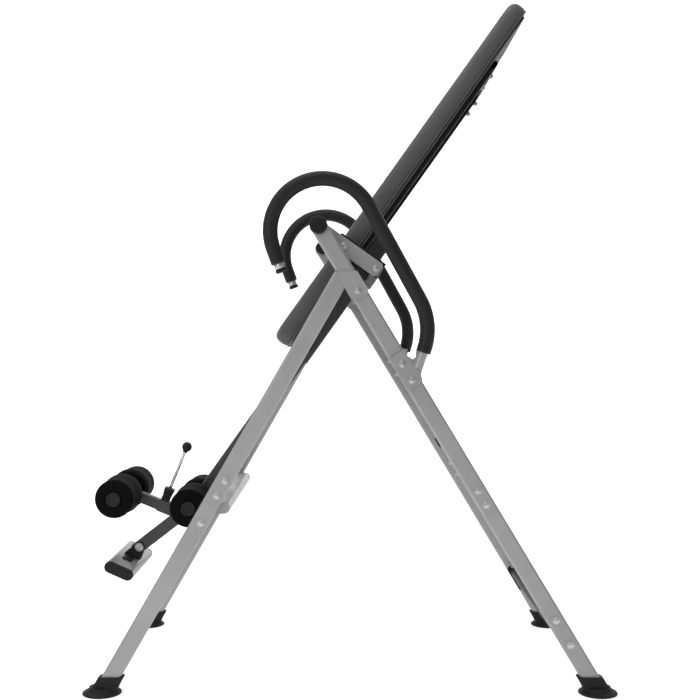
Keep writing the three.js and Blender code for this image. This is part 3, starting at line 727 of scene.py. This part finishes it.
# %% Turn the pivot caps
for name, side in SIDES.items():
    node = f"pivot_cap_{name}"
    low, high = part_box(node)
    face = max(abs(low.y), abs(high.y))
    base = min(abs(low.y), abs(high.y))
    rings = [(20.6, 0), (21, 0.6), (21, -6.5), (20.2, -8.4), (18.4, -9.4), (15.6, -9.4), (15, -8.6)]
    rings += [(13, -8.6), (12.4, -9.2), (8.4, -9.2), (7.8, -8.0), (4.2, -8.0)]
    rings += [(3.6, -8.8), (0.4, -8.8)]
    profile = [(r * MM, side * (base - y * MM)) for r, y in rings]
    place = Matrix.Translation((PIVOT.x, 0, PIVOT.z))
    cap = Loft().turned(profile, place, 56).piece(f"bearing_cap_{name}", PLASTIC, "rear_frame", 25)
    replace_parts(cap, node)
print("pivot caps stand", round(1000 * (face - base), 1), "mm proud")

# %% [markdown]
# ## Flat-oval bars
# The front cross bar, the black rear cross bar and the footrest are flat-oval tube. Their ends
# are left open on the stand and closed with ribbed plugs on the footrest.


# %% Draw the flat-oval bars
def oval_bar(name, node, material, body, place, along_z=False):
    (x0, x1), (y0, y1), (z0, z1) = spans(node, place)
    width, height = (z1 - z0, x1 - x0) if along_z else (x1 - x0, z1 - z0)
    outline = oval_points(width, height, 16)
    if along_z:
        outline = [(z, x) for x, z in outline]
    centre = shifted(place, (x0 + x1) / 2, 0, (z0 + z1) / 2)
    bar = Loft().across(outline, y0, y1, centre, 0.5 * MM).piece(name, material, body)
    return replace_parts(bar, node)


oval_bar("front_stay", "front_cross_bar", SILVER, "front_frame", Matrix())
oval_bar("foot_bar", "footrest_bar", SILVER, "footrest", FOOTREST, True)
for name, side in SIDES.items():
    node = f"footrest_cap_{name}"
    (x0, x1), (y0, y1), (z0, z1) = spans(node, FOOTREST)
    outline = [(z, x) for x, z in oval_points(z1 - z0, x1 - x0, 16)]
    centre = shifted(FOOTREST, (x0 + x1) / 2, 0, (z0 + z1) / 2)
    plug = Loft().across(outline, y0, y1, centre, 1.6 * MM)
    outer = y1 if side > 0 else y0
    rib = [(z, x) for x, z in oval_points(z1 - z0 - 12 * MM, x1 - x0 - 12 * MM, 16)]
    plug.across(rib, *sorted((outer - side * MM, outer + side * 0.9 * MM)), centre, 0.4 * MM)
    made = plug.piece(f"footrest_plug_{name}", PLASTIC, "footrest")
    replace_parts(made, node)

# %% Turn the footrest's pivot bolt
head = [(5, 17.4), (10.6, 17.4), (11, 17.9), (11, 20), (10.4, 20.5), (8.4, 20.5), (8, 21.2)]
head += [(8, 23), (7, 24), (3.4, 24), (3, 23.2)]
(x0, x1), _, (z0, z1) = spans("footrest_bolt", FOOTREST)
centre = shifted(FOOTREST, (x0 + x1) / 2, 0, (z0 + z1) / 2)
bolt = Loft()
for side in SIDES.values():
    bolt.turned([(r * MM, side * y * MM) for r, y in head], centre)
bolt.turned([(5 * MM, -17.6 * MM), (5 * MM, 17.6 * MM)], centre)
made = bolt.piece("footrest_pivot_bolt", ZINC, "boom", 30)
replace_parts(made, "footrest_bolt")
print("flat-oval bars and plugs")

# %% [markdown]
# ## Bolts
# Zinc bolts hold the tube joints, the handles, the hinge plates and the cross bars. Each shows a
# washer under a hexagon head outside, and a washer, a nut and the end of the thread inside.


# %% Make a bolt's head and nut
def head_on(loft, x, y, z, out, size=1.0, nut=False):
    """Adds a head or nut at a point, facing out along +Y or -Y."""
    place = Matrix.Translation((x, y, z))
    scale = size * MM
    washer = [(8.6, 0.1), (9, 0.4), (9, 1.3), (8.6, 1.6)]
    loft.turned([(r * scale, out * h * scale) for r, h in washer], place, 32)
    height = 6.4 if nut else 5.2
    hexagon = [(6.9, 1.6), (7.4, 2.1), (7.4, height - 0.8), (6.4, height)]
    turn = place @ Matrix.Rotation(radians(17 + 31 * (x + z)), 4, "Y")
    loft.turned([(r * scale, out * h * scale) for r, h in hexagon], turn, 6)
    top = [(3.9, height - 0.4), (3.9, height + 2.2), (3.3, height + 2.8)] if nut else [
        (5.6, height - 0.6), (5.4, height + 0.3), (3.0, height + 0.9), (0.4, height + 1.0)]
    loft.turned([(r * scale, out * h * scale) for r, h in top], place, 24)


def through_bolts(name, body, spots, y_out, y_in, side):
    """Heads on the outer face and nuts on the inner one, all in one mesh."""
    loft = Loft()
    for spot in spots:
        head_on(loft, spot.x, side * y_out, spot.z, side)
        if y_in is not None:
            head_on(loft, spot.x, side * y_in, spot.z, -side, 0.9, True)
    return loft.piece(name, ZINC, body, 30)


# %% Bolt the stand together
LEG_OUT, LEG_IN = 318.6 * MM, 293.4 * MM


def down_leg(end, *lengths, aside=0.0):
    """Points along a leg, by how many millimetres they lie below its own origin."""
    return [LEGS[end] @ Vector((aside * MM, 0, -length * MM)) for length in lengths]


REAR_BOLTS = down_leg("rear", 725.5, 763.7, 1079, 1146)
FRONT_BOLTS = down_leg("front", 540, 580, 654, aside=3)
HANDLE_BOLTS = down_leg("rear", 379.3, 423.7)
for name, side in SIDES.items():
    through_bolts(f"rear_leg_bolts_{name}", "rear_frame", REAR_BOLTS, LEG_OUT, LEG_IN, side)
    through_bolts(f"front_leg_bolts_{name}", "front_frame", FRONT_BOLTS, LEG_OUT, LEG_IN, side)
    bracket_out = LEG_OUT + 4.2 * MM
    through_bolts(f"handle_bolts_{name}", "rear_frame", HANDLE_BOLTS, bracket_out, LEG_IN, side)
    low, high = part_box(f"fold_bolt_{name}")
    loft = Loft()
    x, y, z = ((a + b) / 2 for a, b in zip(low, high))
    faces = sorted((side * 16 * MM + y, y - side * 16 * MM), key=abs)
    shank = [(5 * MM, face) for face in faces]
    loft.turned(shank, Matrix.Translation((x, 0, z)), 32)
    head_on(loft, x, faces[1], z, side)
    head_on(loft, x, faces[0], z, -side, 0.9, True)
    made = loft.piece(f"fold_joint_bolt_{name}", ZINC, "rear_frame", 30)
    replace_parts(made, f"fold_bolt_{name}")
print("stand bolted at", len(REAR_BOLTS + FRONT_BOLTS + HANDLE_BOLTS), "points a side")

# %% Bolt the bed together
for name, side in SIDES.items():
    plate_out = spans(f"hinge_plate_{name}", BED)[1]
    outer = max(abs(plate_out[0]), abs(plate_out[1]))
    loft = Loft()
    for n in (-74, -168):
        spot = BED @ Vector((-2 * MM, side * outer, n * MM))
        head_on(loft, spot.x, spot.y, spot.z, side)
    loft.piece(f"hinge_bolts_{name}", ZINC, "bed", 30)
    inner = min(abs(plate_out[0]), abs(plate_out[1]))
    cover = [(18.4, -0.2), (18.4, -3), (17.6, -6.4), (15.6, -8.4), (9, -9), (0.5, -9)]
    profile = [(r * MM, side * (inner + y * MM)) for r, y in cover]
    disc = Loft().turned(profile, Matrix.Translation((PIVOT.x, 0, PIVOT.z)), 56)
    disc.piece(f"bearing_cover_{name}", PLASTIC, "bed", 30)
print("hinge plates stand at", round(1000 * outer), "mm")

# %% [markdown]
# ## The back rest
# The cushion is foam on a board under a stretched cover. It is built a little thin as a stack of
# rounded outlines, then inflated as cloth: the cover swells, and the swell is capped so that it
# keeps to the frame. Its back stays flat, because it is stapled to the board.


# %% Build the cushion a little thin
def cushion_rings(low, high):
    """Outlines up the cushion from its back, in the bed's axes."""
    (x0, y0, z0), (x1, y1, z1) = low, high
    thick = z1 - z0
    steps = [(6, 0.0), (2.5, 0.04), (0.8, 0.12), (0.2, 0.28), (0, 0.5), (0.4, 0.7), (2, 0.82)]
    steps += [(5.5, 0.92), (10, 0.975), (18, 1.0), (60, 1.0), (110, 1.0)]
    rings = []
    for inset, share in steps:
        width = x1 - x0 - 2 * inset * MM
        depth = y1 - y0 - 2 * inset * MM
        corner = max(20 * MM, (42 - 0.3 * inset) * MM)
        outline = square_points(width, depth, corner, 10)
        middle = ((x0 + x1) / 2, (y0 + y1) / 2)
        z = z0 + share * thick
        rings.append([(middle[0] + px, middle[1] + py, z) for px, py in outline])
    return rings


pad_spans = spans("back_pad", BED)
low = Vector([s[0] for s in pad_spans[:2]] + [pad_spans[2][0] + 0.5 * MM])
high = Vector([s[1] for s in pad_spans[:2]] + [pad_spans[2][1] - 3.5 * MM])
cushion = Loft().skin(cushion_rings(low, high), BED).piece("back_cushion", VINYL, "bed", 180)
print("cushion starts with", len(cushion.data.vertices), "points")


# %% Inflate it as cloth
def apply_modifiers(piece):
    """Bakes a piece's modifiers into its mesh."""
    graph = bpy.context.evaluated_depsgraph_get()
    baked = bpy.data.meshes.new_from_object(piece.evaluated_get(graph))
    piece.modifiers.clear()
    piece.data = baked


def inflate(piece, voxel, pressure, most):
    """Swells a closed piece as cloth, and keeps every point within `most` of its start."""
    remesh = piece.modifiers.new("even_mesh", "REMESH")
    remesh.mode = "VOXEL"
    remesh.voxel_size = voxel
    apply_modifiers(piece)
    start = [v.co.copy() for v in piece.data.vertices]
    cloth = piece.modifiers.new("cover", "CLOTH")
    cloth.settings.use_pressure = True
    cloth.settings.uniform_pressure_force = pressure
    cloth.settings.tension_stiffness = 30
    cloth.settings.compression_stiffness = 30
    cloth.settings.quality = 4
    cloth.settings.effector_weights.gravity = 0
    scene = bpy.context.scene
    for number in range(1, 21):
        scene.frame_set(number)
    apply_modifiers(piece)
    scene.frame_set(1)
    for vertex, home in zip(piece.data.vertices, start):
        moved = vertex.co - home
        if moved.length > most:
            vertex.co = home + moved * (most / moved.length)


inflate(cushion, 6 * MM, 4, 6 * MM)
print("cushion has", len(cushion.data.vertices), "points after the simulation")


# %% Seat it on the board and soften its edge
def seat(piece, place, back, front, low_xy, high_xy):
    """Flattens the back onto the board and keeps the cover inside its own space."""
    level = place.inverted()
    for vertex in piece.data.vertices:
        at = level @ vertex.co
        at.z = min(max(at.z, back), front)
        at.x = min(max(at.x, low_xy[0]), high_xy[0])
        at.y = min(max(at.y, low_xy[1]), high_xy[1])
        vertex.co = place @ at


edges = [(s[0], s[1]) for s in pad_spans]
seat(cushion, BED, edges[2][0], edges[2][1], (edges[0][0], edges[1][0]), (edges[0][1], edges[1][1]))
smooth = cushion.modifiers.new("settle", "SMOOTH")
smooth.factor = 0.5
smooth.iterations = 3
finer = cushion.modifiers.new("finer", "SUBSURF")
finer.levels = finer.render_levels = 1
apply_modifiers(cushion)
cushion.data.shade_smooth()
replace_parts(cushion, "back_pad")
print("cushion finished with", len(cushion.data.vertices), "points")

# %% [markdown]
# A welt, a cord sewn into the seam, runs round the back edge where the cover turns under.


# %% Sew the welt
def welt_line(inset, z):
    width = edges[0][1] - edges[0][0] - 2 * inset
    depth = edges[1][1] - edges[1][0] - 2 * inset
    middle = (edges[0][0] + edges[0][1]) / 2
    outline = square_points(width, depth, 40 * MM, 12)
    return [Vector((middle + x, y, z)) for x, y in outline]


def closed_tube(loft, line, radius, place, count=10):
    """A tube along a closed line that lies in one plane."""
    rings = []
    for i, point in enumerate(line):
        along = (line[(i + 1) % len(line)] - line[i - 1]).normalized()
        side = along.cross(Vector((0, 0, 1)))
        lift = Vector((0, 0, 1))
        rings.append([point + side * u + lift * v for u, v in ring_points(radius, count)])
    start = len(loft.points)
    loft.points += [place @ p for ring in rings for p in ring]
    total = len(rings)
    for row in range(total):
        a, b = start + row * count, start + (row + 1) % total * count
        for i in range(count):
            j = (i + 1) % count
            loft.faces.append((a + i, a + j, b + j, b + i))


welt = Loft()
closed_tube(welt, welt_line(8 * MM, edges[2][0] + 2.6 * MM), 2.2 * MM, BED)
welt.piece("back_welt", VINYL, "bed", 180)
print("welt of", len(welt.points), "points")

# %% [markdown]
# ## The ankle latch
# A long chromed rod pulls the latch pin out of the sliding tube. It has a black ball at the top
# and runs into a ribbed block on the sleeve.

# %% Turn the rod and the ball
LATCH_Z = sum(spans("latch_ball", ANKLE)[2]) / 2
BALL_X = sum(spans("latch_ball", ANKLE)[0]) / 2
ROD_X = spans("latch_rod", ANKLE)[0]
quarter = Matrix.Rotation(-pi / 2, 4, "Z")
along_rod = shifted(ANKLE, 0, 0, LATCH_Z) @ quarter


def ball_profile(radius, centre, steps=18):
    turns = [pi * (0.06 + 0.93 * i / steps) for i in range(steps + 1)]
    return [(radius * sin(a), centre - radius * cos(a)) for a in turns]


rod_profile = [(3.2 * MM, ROD_X[0]), (3.75 * MM, ROD_X[0] + MM), (3.75 * MM, ROD_X[1])]
rod = Loft().turned(rod_profile, along_rod, 32).piece("latch_bar", CHROME, "latch")
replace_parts(rod, "latch_rod")
neck = [(6.2 * MM, BALL_X - 15.5 * MM), (6.6 * MM, BALL_X - 14.6 * MM), (6.6 * MM, BALL_X - 9 * MM)]
ball = Loft().turned(ball_profile(13 * MM, BALL_X), along_rod, 48).turned(neck, along_rod, 32)
knob = ball.piece("latch_knob", PLASTIC, "latch", 50)
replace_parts(knob, "latch_ball")
print("latch ball at", [round(c, 3) for c in along_rod @ Vector((0, BALL_X, 0))])

# %% Mould the latch block
(bx0, bx1), (by0, by1), (bz0, bz1) = spans("latch_block", ANKLE)
block = Loft()
outline = square_points(by1 - by0, bz1 - bz0, 5 * MM)
shape = [(0.0, 3.0), (0.04, 2.4), (0.3, 2.4), (0.36, 3.6), (0.42, 1.6), (0.56, 1.2), (0.62, 2.6)]
shape += [(0.68, 0.4), (0.94, 0.2), (1.0, 1.8)]
rings = []
for share, inset in shape:
    x = bx0 + share * (bx1 - bx0)
    rings.append([(x, py, (bz0 + bz1) / 2 + pz) for py, pz in shrunk(outline, inset * MM)])
block.skin(rings, ANKLE)
housing = block.piece("latch_housing", PLASTIC, "boom", 30)
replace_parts(housing, "latch_block")
print("latch block", round(1000 * (bx1 - bx0)), "mm tall")

# %% [markdown]
# ## Small trim
# Black plugs close the rails, and oval plugs fill the slots on the inner faces of the legs.


# %% Plug the tubes
def plug(name, node, place, end, body, width, depth):
    """A ribbed plug in the end of a square tube that lies along X."""
    (x0, x1), (y0, y1), (z0, z1) = spans(node, place)
    x = x1 if end > 0 else x0
    z_mid = (z0 + z1) / 2
    outline = square_points(width, depth, 3 * MM)
    rings = []
    for step, inset in [(-4, 2.6), (0.2, 2.6), (0.3, 0.2), (1.8, 0.2), (2.8, 1.4)]:
        ring = shrunk(outline, inset * MM)
        rings.append([(x + end * step * MM, py, z_mid + pz) for py, pz in ring])
    made = Loft().skin(rings, place).piece(name, PLASTIC, body, 30)
    return made


for name, side in SIDES.items():
    place = shifted(BED, 0, side * 150 * MM, 0)
    plug(f"rail_plug_{name}", f"pad_rail_{name}", place, -1, "bed", 22 * MM, 12 * MM)


def slot_plug(name, end, height, length, side):
    """An oval plug on the inner face of a leg."""
    x, lean = on_leg(end, height)
    turn = Matrix.Rotation(atan2(lean, 1) + pi / 2, 4, "Y")
    place = Matrix.Translation((x, side * LEG_IN, height)) @ turn
    low, high = sorted((-side * 1.4 * MM, side * 0.6 * MM))
    oval = Loft().across(oval_points(length, 9 * MM, 8), low, high, place, 0.4 * MM)
    return oval.piece(name, PLASTIC, f"{end}_frame")


for name, side in SIDES.items():
    slot_plug(f"rear_slot_plug_{name}", "rear", 534 * MM, 32 * MM, side)
    slot_plug(f"front_slot_plug_{name}", "front", 283 * MM, 38 * MM, side)
print("trim fitted")

# %% Bolts through the board into the rails
for name, side in SIDES.items():
    loft = Loft()
    (x0, x1), (y0, y1), (z0, z1) = spans(f"pad_rail_{name}", BED)
    for x in (x0 + 40 * MM, x1 - 48 * MM, x1 - 13 * MM):
        place = BED @ Matrix.Translation((x, (y0 + y1) / 2, z0)) @ Matrix.Rotation(-pi / 2, 4, "X")
        body = [(7.6, 0.1), (8, 0.4), (8, 1.2), (7.6, 1.5)]
        loft.turned([(r * MM, h * MM) for r, h in body], place, 28)
        nut = [(6.0, 1.5), (6.6, 2.1), (6.6, 6.2), (5.6, 7.2)]
        loft.turned([(r * MM, h * MM) for r, h in nut], place, 6)
        loft.turned([(3.2 * MM, 6.6 * MM), (3.2 * MM, 9 * MM), (2.6 * MM, 9.6 * MM)], place, 20)
    loft.piece(f"rail_nuts_{name}", ZINC, "bed", 30)
print("rail nuts on the back of the bed")

# %% [markdown]
# ## The studio
# A pale sweep of paper, wide soft lights overhead and in front, and a dim even surround. The
# paper glows a little, so that it stays white while the machine is lit softly enough for its
# black foam and plastic to read as black.


# %% Lay the paper sweep
def paper_sweep():
    """A floor that curves up into a wall behind the machine."""
    outline = [(-9.0, 0.0), (3.2, 0.0)]
    bend = [pi / 2 * i / 16 for i in range(1, 17)]
    outline += [(3.2 + 1.4 * sin(a), 1.4 - 1.4 * cos(a)) for a in bend]
    outline.append((4.6, 9.0))
    points = [(x, y, z) for x in (-9.0, 9.0) for y, z in outline]
    count = len(outline)
    faces = [(i, i + 1, count + i + 1, count + i) for i in range(count - 1)]
    mesh = bpy.data.meshes.new("paper_sweep")
    mesh.from_pydata(points, [], faces)
    mesh.shade_smooth()
    paper = Finish("white_paper", Roughness=0.9, Emission_Strength=0.42)
    paper.set(Emission_Color=(1, 1, 1, 1))
    fibre = paper.noise(3, detail=3)
    paper.set(Base_Color=paper.mix(fibre, (0.92, 0.92, 0.92), (0.95, 0.95, 0.95)))
    mesh.materials.append(paper.material)
    made = bpy.data.objects.new("paper_sweep", mesh)
    bpy.context.scene.collection.objects.link(made)
    made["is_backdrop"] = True


def soft_light(name, place, aim, size, power):
    data = bpy.data.lights.new(name, "AREA")
    data.shape = "RECTANGLE"
    data.size, data.size_y = size
    data.energy = power
    light = bpy.data.objects.new(name, data)
    light.location = place
    light.rotation_euler = (Vector(aim) - Vector(place)).to_track_quat("-Z", "Y").to_euler()
    bpy.context.scene.collection.objects.link(light)


paper_sweep()
soft_light("overhead", (-0.6, -0.6, 3.8), (0, 0, 0.7), (3.6, 3.6), 70)
soft_light("front_left", (-2.6, -3.4, 2.2), (0, 0, 0.8), (2.2, 2.2), 42)
soft_light("rear_wash", (1.5, 2.6, 3.4), (0, 4.5, 1.2), (4.0, 1.5), 60)
world = bpy.data.worlds.new("surround")
world.use_nodes = True
background = world.node_tree.nodes["Background"]
background.inputs["Color"].default_value = (1, 1, 1, 1)
background.inputs["Strength"].default_value = 0.36
bpy.context.scene.world = world
bpy.context.scene.view_settings.view_transform = "Standard"
print("studio lit")

# %% [markdown]
# ## Finishing
# The model's overall box is printed for whoever places the machine in a room.

# %% Print the size and finish
low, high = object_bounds()
print("the finished table is", [round(b - a, 3) for a, b in zip(low, high)], "m")
